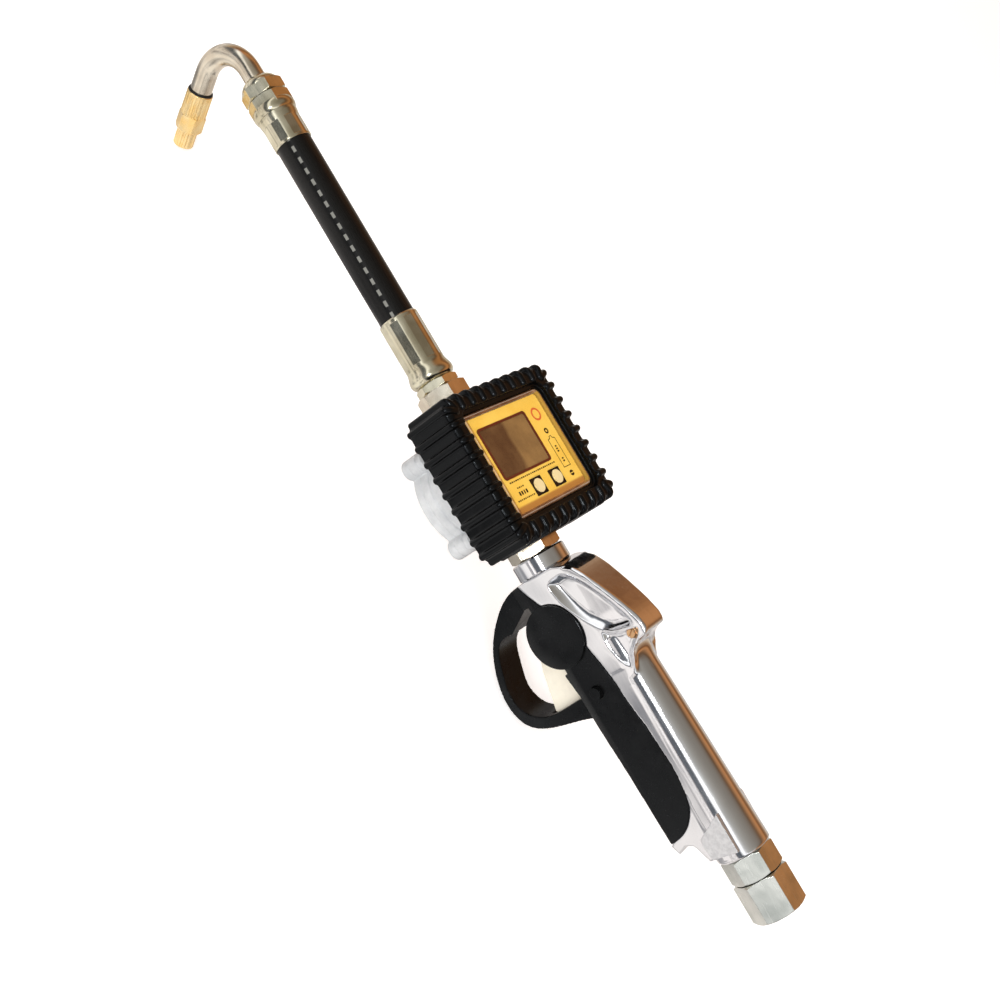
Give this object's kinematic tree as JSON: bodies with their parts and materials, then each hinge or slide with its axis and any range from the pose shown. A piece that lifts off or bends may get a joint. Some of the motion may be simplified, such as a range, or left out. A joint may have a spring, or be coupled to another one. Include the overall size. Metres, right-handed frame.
{
  "type": "metered oil control gun",
  "caption": "Trigger-operated oil dispensing gun with a swivel inlet, polished handle, digital flow meter in a rubber boot, short hose, bent spout and twist nozzle.",
  "frame": {"origin": "centre of the hose inlet's mouth, on the inlet axis", "axes": "+X with the flow towards the spout, +Z the side that the display faces, +Y to the left"},
  "size_m": [0.5578, 0.0976, 0.1163],
  "materials": {
    "polished_aluminium": "polished casting",
    "steel": "plain",
    "black_plastic": "fine moulded texture",
    "nickel_plate": "satin nickel plate",
    "seal_rubber": "smooth",
    "brass": "machined",
    "zinc_plate": "zinc plate",
    "chrome": "mirror polish",
    "cast_aluminium": "rough cast",
    "gear_plastic": "moulded",
    "circuit_board": "solder resist",
    "display_glass": "dark reflective",
    "surround": "gloss",
    "yellow_panel": "printed film",
    "clear_cover": "clear polycarbonate",
    "key_rubber": "smooth",
    "key_disc": "gloss",
    "boot_rubber": "semi-matt",
    "ferrule_plate": "zinc plate",
    "hose_rubber": "soft sheen"
  },
  "bodies": {
    "gun": {"handle_casting": "polished_aluminium", "head_screws": "steel", "grip_guard": "black_plastic", "pivot_caps": "black_plastic", "pivot_screws": "steel", "valve_seat": "steel", "valve_spring": "steel", "gland_nut": "brass", "stem_seal": "seal_rubber", "swivel_body": "zinc_plate", "swivel_snap_ring": "steel", "swivel_seal": "seal_rubber", "inlet_strainer": "steel", "outlet_collar": "chrome", "meter_inlet_adapter": "nickel_plate", "meter_outlet_adapter": "nickel_plate", "meter_body": "cast_aluminium", "chamber_cover": "cast_aluminium", "chamber_seal": "seal_rubber", "cover_screws": "steel", "gear_shafts": "steel", "register_case": "black_plastic", "case_screws": "steel", "circuit_board": "circuit_board", "battery_cell": "steel", "display_module": "display_glass", "display_surround": "surround", "face_panel": "yellow_panel", "clear_cover": "clear_cover", "rubber_boot": "boot_rubber", "lower_hose_insert": "ferrule_plate", "lower_ferrule": "ferrule_plate", "hose_cover": "hose_rubber", "hose_braid": "steel", "hose_liner": "seal_rubber"},
    "inlet": {"swivel_connector": "zinc_plate"},
    "trigger": {"trigger": "nickel_plate"},
    "valve": {"valve_stem": "steel", "valve_disc": "seal_rubber"},
    "lock": {"lock_button": "black_plastic"},
    "gear_left": {"oval_gear_left": "gear_plastic"},
    "gear_right": {"oval_gear_right": "gear_plastic"},
    "key_left": {"key_pad_left": "key_rubber", "key_disc_left": "key_disc"},
    "key_right": {"key_pad_right": "key_rubber", "key_disc_right": "key_disc"},
    "hose_end": {"upper_ferrule": "ferrule_plate", "upper_hose_insert": "ferrule_plate"},
    "spout": {"spout_union_nut": "ferrule_plate", "spout_tube": "nickel_plate", "nozzle_washer": "seal_rubber", "nozzle_body": "brass"},
    "nozzle_tip": {"nozzle_tip": "brass"},
    "needle": {"nozzle_needle": "steel"}
  },
  "joints": [
    {"name": "inlet_swivel", "type": "hinge", "parent": "gun", "child": "inlet", "pos_m": [0.011, 0, 0], "axis": [1, 0, 0], "continuous": true},
    {"name": "trigger_pull", "type": "hinge", "parent": "gun", "child": "trigger", "pos_m": [0.1806, 0, -0.0256], "axis": [0, 1, 0], "range_deg": [0, 10]},
    {"name": "valve_lift", "type": "slide", "parent": "gun", "child": "valve", "axis": [0, 0, 1], "range_m": [0, 0.0028], "deforming": ["valve_spring"]},
    {"name": "lock_press", "type": "slide", "parent": "gun", "child": "lock", "axis": [0, -1, 0], "range_m": [0, 0.0025]},
    {"name": "gear_left_spin", "type": "hinge", "parent": "gun", "child": "gear_left", "pos_m": [0.272, 0.01, -0.034], "axis": [0, 0, 1], "continuous": true},
    {"name": "gear_right_spin", "type": "hinge", "parent": "gun", "child": "gear_right", "pos_m": [0.272, -0.01, -0.034], "axis": [0, 0, 1], "continuous": true},
    {"name": "key_left_press", "type": "slide", "parent": "gun", "child": "key_left", "axis": [0, 0, -1], "range_m": [0, 0.0008]},
    {"name": "key_right_press", "type": "slide", "parent": "gun", "child": "key_right", "axis": [0, 0, -1], "range_m": [0, 0.0008]},
    {"name": "hose_flex", "type": "hinge", "parent": "gun", "child": "hose_end", "pos_m": [0.4275, 0, -0.0182], "axis": [0, 1, 0], "range_deg": [-20, 20], "deforming": ["hose_cover", "hose_braid", "hose_liner"]},
    {"name": "spout_swivel", "type": "hinge", "parent": "hose_end", "child": "spout", "pos_m": [0.517, 0, -0.0182], "axis": [1, 0, 0], "continuous": true},
    {"name": "tip_twist", "type": "hinge", "parent": "spout", "child": "nozzle_tip", "pos_m": [0.54565, 0, -0.05682], "axis": [-0.3746, 0, -0.9272], "range_deg": [0, 90]},
    {"name": "needle_draw", "type": "slide", "parent": "spout", "child": "needle", "axis": [0.3746, 0, 0.9272], "range_m": [0, 0.0016]}
  ],
  "couplings": [
    {"joint": "valve_lift", "follows": "trigger_pull", "m_per_rad": 0.0151},
    {"joint": "gear_right_spin", "follows": "gear_left_spin", "ratio": -1},
    {"joint": "needle_draw", "follows": "tip_twist", "m_per_rad": 0.0009549}
  ]
}
